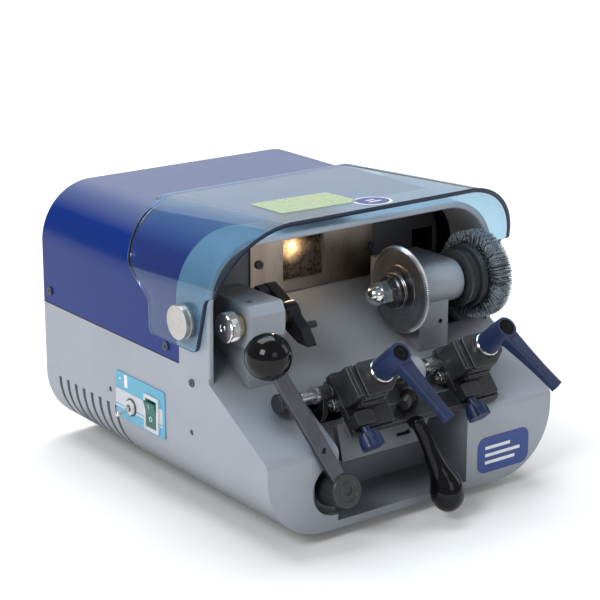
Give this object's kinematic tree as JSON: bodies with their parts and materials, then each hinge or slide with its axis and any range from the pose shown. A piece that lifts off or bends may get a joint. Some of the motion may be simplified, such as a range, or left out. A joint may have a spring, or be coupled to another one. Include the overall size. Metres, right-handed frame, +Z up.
{
  "type": "key duplicating machine",
  "caption": "Bench key duplicator with a toothed cutter wheel, tracer, tilting carriage with key clamps, wire brush, work lamp and clear tilting guard.",
  "frame": {"origin": "on the bench, in the plane of the nose's front face, midway between the sides", "axes": "+X to the operator's right, +Y away from the operator to the back, +Z up"},
  "size_m": [0.3523, 0.4234, 0.2707],
  "materials": {
    "casting_grey": "hammered semi-gloss grey paint",
    "cover_blue": "gloss dark blue paint",
    "shield_blue": "clear pale blue plastic",
    "grey_plate": "satin grey paint",
    "rubber_black": "matte",
    "zinc_screw": "bright zinc",
    "lamp_steel": "brushed",
    "bulb_glass": "warm clear glass",
    "black_plastic": "fine matte",
    "gloss_black": "high gloss",
    "label_teal": "printed film",
    "green_switch": "translucent green",
    "white_frame": "gloss",
    "chrome": "polished",
    "ground_steel": "ground",
    "cutter_steel": "ground with fine teeth",
    "black_steel": "black oxide",
    "aluminium": "satin",
    "bristle_grey": "fine crimped wire",
    "brass": "turned",
    "grip_blue": "fine satin",
    "steel_bar": "dark satin",
    "motor_grey": "satin"
  },
  "bodies": {
    "frame": {"main_frame": "casting_grey", "hood": "casting_grey", "top_cover": "cover_blue", "partition_wall": "grey_plate", "rear_panel": "grey_plate", "rubber_feet": "rubber_black", "machine_screws": "zinc_screw", "lamp_plate": "lamp_steel", "lamp_socket": "aluminium", "lamp_bulb": "bulb_glass", "switch_plate": "label_teal", "switch_bezels": "white_frame", "power_inlet": "black_plastic", "spindle_housing": "casting_grey", "spindle_bearings": "ground_steel", "drive_belt": "rubber_black", "motor_body": "motor_grey", "motor_bracket": "grey_plate", "tracer_bracket": "casting_grey", "shaft_bearing_block": "casting_grey", "bronze_bushes": "brass", "lever_bearing_block": "casting_grey"},
    "spindle": {"spindle_shaft": "ground_steel", "cutter_wheel": "cutter_steel", "cutter_collar": "ground_steel", "cap_nut": "chrome", "spindle_pulley": "aluminium", "brush_hub": "black_plastic", "brush_bristles": "bristle_grey"},
    "motor_rotor": {"motor_shaft": "ground_steel", "motor_pulley": "aluminium"},
    "tracer": {"tracer_quill": "brass", "tracer_arm": "black_steel", "tracer_screws": "black_steel"},
    "micrometer": {"micrometer_knob": "chrome"},
    "carriage_slider": {"carriage_shaft": "ground_steel", "shaft_end_cap": "black_plastic", "drive_fork": "black_steel", "shaft_collars": "ground_steel"},
    "carriage": {"carriage_casting": "casting_grey", "lower_jaws": "black_steel", "clamp_studs": "ground_steel", "jaw_springs": "ground_steel", "carriage_handle": "gloss_black", "carriage_screws": "zinc_screw"},
    "left_jaw": {"left_upper_jaw": "black_steel"},
    "right_jaw": {"right_upper_jaw": "black_steel"},
    "left_lever": {"left_clamp_lever": "grip_blue"},
    "right_lever": {"right_clamp_lever": "grip_blue"},
    "left_wing": {"left_wing_knob": "grip_blue"},
    "right_wing": {"right_wing_knob": "grip_blue"},
    "lock": {"lock_knob": "black_plastic"},
    "feed": {"lever_hub": "black_steel", "lever_bar": "steel_bar", "ball_knob": "gloss_black", "lever_shaft": "ground_steel"},
    "guard": {"shield": "shield_blue", "shield_knobs": "chrome"},
    "rocker": {"power_rocker": "green_switch"},
    "toggle": {"lamp_toggle": "chrome"}
  },
  "joints": [
    {"name": "carriage_slide", "type": "slide", "parent": "frame", "child": "carriage_slider", "axis": [1, 0, 0], "range_m": [-0.008, 0.03]},
    {"name": "carriage_tilt", "type": "hinge", "parent": "carriage_slider", "child": "carriage", "pos_m": [0, 0.036, 0.119], "axis": [-1, 0, 0], "range_deg": [0, 32]},
    {"name": "feed_lever", "type": "hinge", "parent": "frame", "child": "feed", "pos_m": [-0.088, -0.016, 0.05], "axis": [0, 0.9711, -0.2385], "range_deg": [-7.7, 28.6]},
    {"name": "shield_tilt", "type": "hinge", "parent": "frame", "child": "guard", "pos_m": [0, 0.11, 0.182], "axis": [1, 0, 0], "range_deg": [0, 30]},
    {"name": "spindle_spin", "type": "hinge", "parent": "frame", "child": "spindle", "pos_m": [0, 0.081, 0.179], "axis": [1, 0, 0], "continuous": true},
    {"name": "motor_spin", "type": "hinge", "parent": "frame", "child": "motor_rotor", "pos_m": [0, 0.24, 0.12], "axis": [1, 0, 0], "continuous": true},
    {"name": "micrometer_turn", "type": "hinge", "parent": "frame", "child": "micrometer", "pos_m": [-0.147, 0.081, 0.179], "axis": [1, 0, 0], "range_deg": [-180, 180]},
    {"name": "tracer_feed", "type": "slide", "parent": "frame", "child": "tracer", "axis": [1, 0, 0], "range_m": [-0.0005, 0.0005]},
    {"name": "lock_pull", "type": "slide", "parent": "carriage", "child": "lock", "axis": [-0.8464, -0.4602, -0.2681], "range_m": [0, 0.004], "stiffness_N_per_m": 500},
    {"name": "power_switch", "type": "hinge", "parent": "frame", "child": "rocker", "pos_m": [-0.158, 0.1725, 0.0785], "axis": [0, 1, 0], "range_deg": [0, 16]},
    {"name": "lamp_switch", "type": "hinge", "parent": "frame", "child": "toggle", "pos_m": [-0.16, 0.207, 0.0747], "axis": [0, 1, 0], "range_deg": [0, 24]},
    {"name": "left_jaw_lift", "type": "slide", "parent": "carriage", "child": "left_jaw", "axis": [0, -0.7431, 0.6691], "range_m": [0, 0.000416]},
    {"name": "left_lever_turn", "type": "hinge", "parent": "left_jaw", "child": "left_lever", "pos_m": [-0.0378, 0.005, 0.1394], "axis": [0, -0.7431, 0.6691], "range_deg": [0, 75]},
    {"name": "left_wing_turn", "type": "hinge", "parent": "carriage", "child": "left_wing", "pos_m": [-0.0598, -0.00125, 0.09659], "axis": [0, -0.6691, -0.7431], "range_deg": [-180, 180]},
    {"name": "right_jaw_lift", "type": "slide", "parent": "carriage", "child": "right_jaw", "axis": [0, -0.7431, 0.6691], "range_m": [0, 0.000416]},
    {"name": "right_lever_turn", "type": "hinge", "parent": "right_jaw", "child": "right_lever", "pos_m": [0.0822, 0.005, 0.1394], "axis": [0, -0.7431, 0.6691], "range_deg": [0, 75]},
    {"name": "right_wing_turn", "type": "hinge", "parent": "carriage", "child": "right_wing", "pos_m": [0.0602, -0.00125, 0.09659], "axis": [0, -0.6691, -0.7431], "range_deg": [-180, 180]}
  ],
  "couplings": [
    {"joint": "feed_lever", "follows": "carriage_slide", "rad_per_m": 16.53},
    {"joint": "motor_spin", "follows": "spindle_spin", "ratio": 1.2332},
    {"joint": "micrometer_turn", "follows": "tracer_feed", "rad_per_m": 6283},
    {"joint": "left_lever_turn", "follows": "left_jaw_lift", "rad_per_m": 3144},
    {"joint": "right_lever_turn", "follows": "right_jaw_lift", "rad_per_m": 3144}
  ]
}
